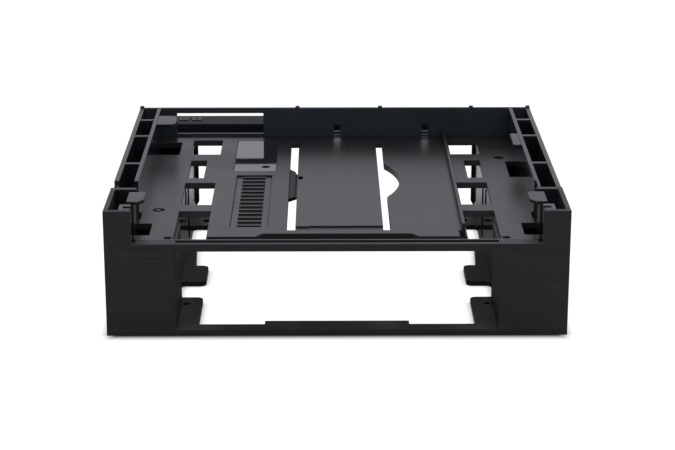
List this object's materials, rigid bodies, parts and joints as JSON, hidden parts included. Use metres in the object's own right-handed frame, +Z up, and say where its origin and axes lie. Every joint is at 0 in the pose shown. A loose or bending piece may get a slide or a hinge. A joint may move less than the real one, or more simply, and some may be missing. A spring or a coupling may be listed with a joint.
{
  "type": "drive bay adapter bracket",
  "caption": "Black plastic drive bay adapter bracket: open lower bay for a 3.5 inch device under a shallow open tray for a slim optical drive, with snap hooks.",
  "frame": {"origin": "centre of the underside of the whole bracket", "axes": "+X to the right seen from the front, +Y from the front bezel to the rear shelf, +Z up"},
  "size_m": [0.146, 0.1486, 0.0419],
  "materials": {
    "bezel_plastic": "moulded with fine horizontal brushed lines",
    "deck_plastic": "satin moulded",
    "plate_plastic": "fine brushed lines along the depth",
    "frame_plastic": "satin moulded",
    "rail_plastic": "semi-gloss moulded",
    "hook_plastic": "satin moulded",
    "badge_plastic": "satin moulded with raised bars",
    "gloss_pad": "polished",
    "screw_steel": "black zinc plated"
  },
  "bodies": {
    "bracket": {"front_bezel": "bezel_plastic", "tray_deck": "deck_plastic", "centre_plate": "plate_plastic", "plate_catch": "deck_plastic", "left_side_wall": "frame_plastic", "right_side_wall": "frame_plastic", "rear_wall": "frame_plastic", "rear_shelf": "frame_plastic", "left_bay_rail": "rail_plastic", "right_bay_rail": "rail_plastic", "left_rear_hook": "hook_plastic", "right_rear_hook": "hook_plastic", "left_cover_socket": "frame_plastic", "right_cover_socket": "frame_plastic", "guide_rib": "deck_plastic", "name_plate": "badge_plastic", "label_pad": "gloss_pad", "shelf_screws": "screw_steel"},
    "left_latch": {"left_front_latch": "hook_plastic"},
    "right_latch": {"right_front_latch": "hook_plastic"}
  },
  "joints": [
    {"name": "left_latch_flex", "type": "hinge", "parent": "bracket", "child": "left_latch", "pos_m": [-0.065, -0.05885, 0.008], "axis": [0, -1, 0], "range_deg": [0, 5], "stiffness_Nm_per_rad": 0.26},
    {"name": "right_latch_flex", "type": "hinge", "parent": "bracket", "child": "right_latch", "pos_m": [0.065, -0.05885, 0.008], "axis": [0, 1, 0], "range_deg": [0, 5], "stiffness_Nm_per_rad": 0.26}
  ]
}
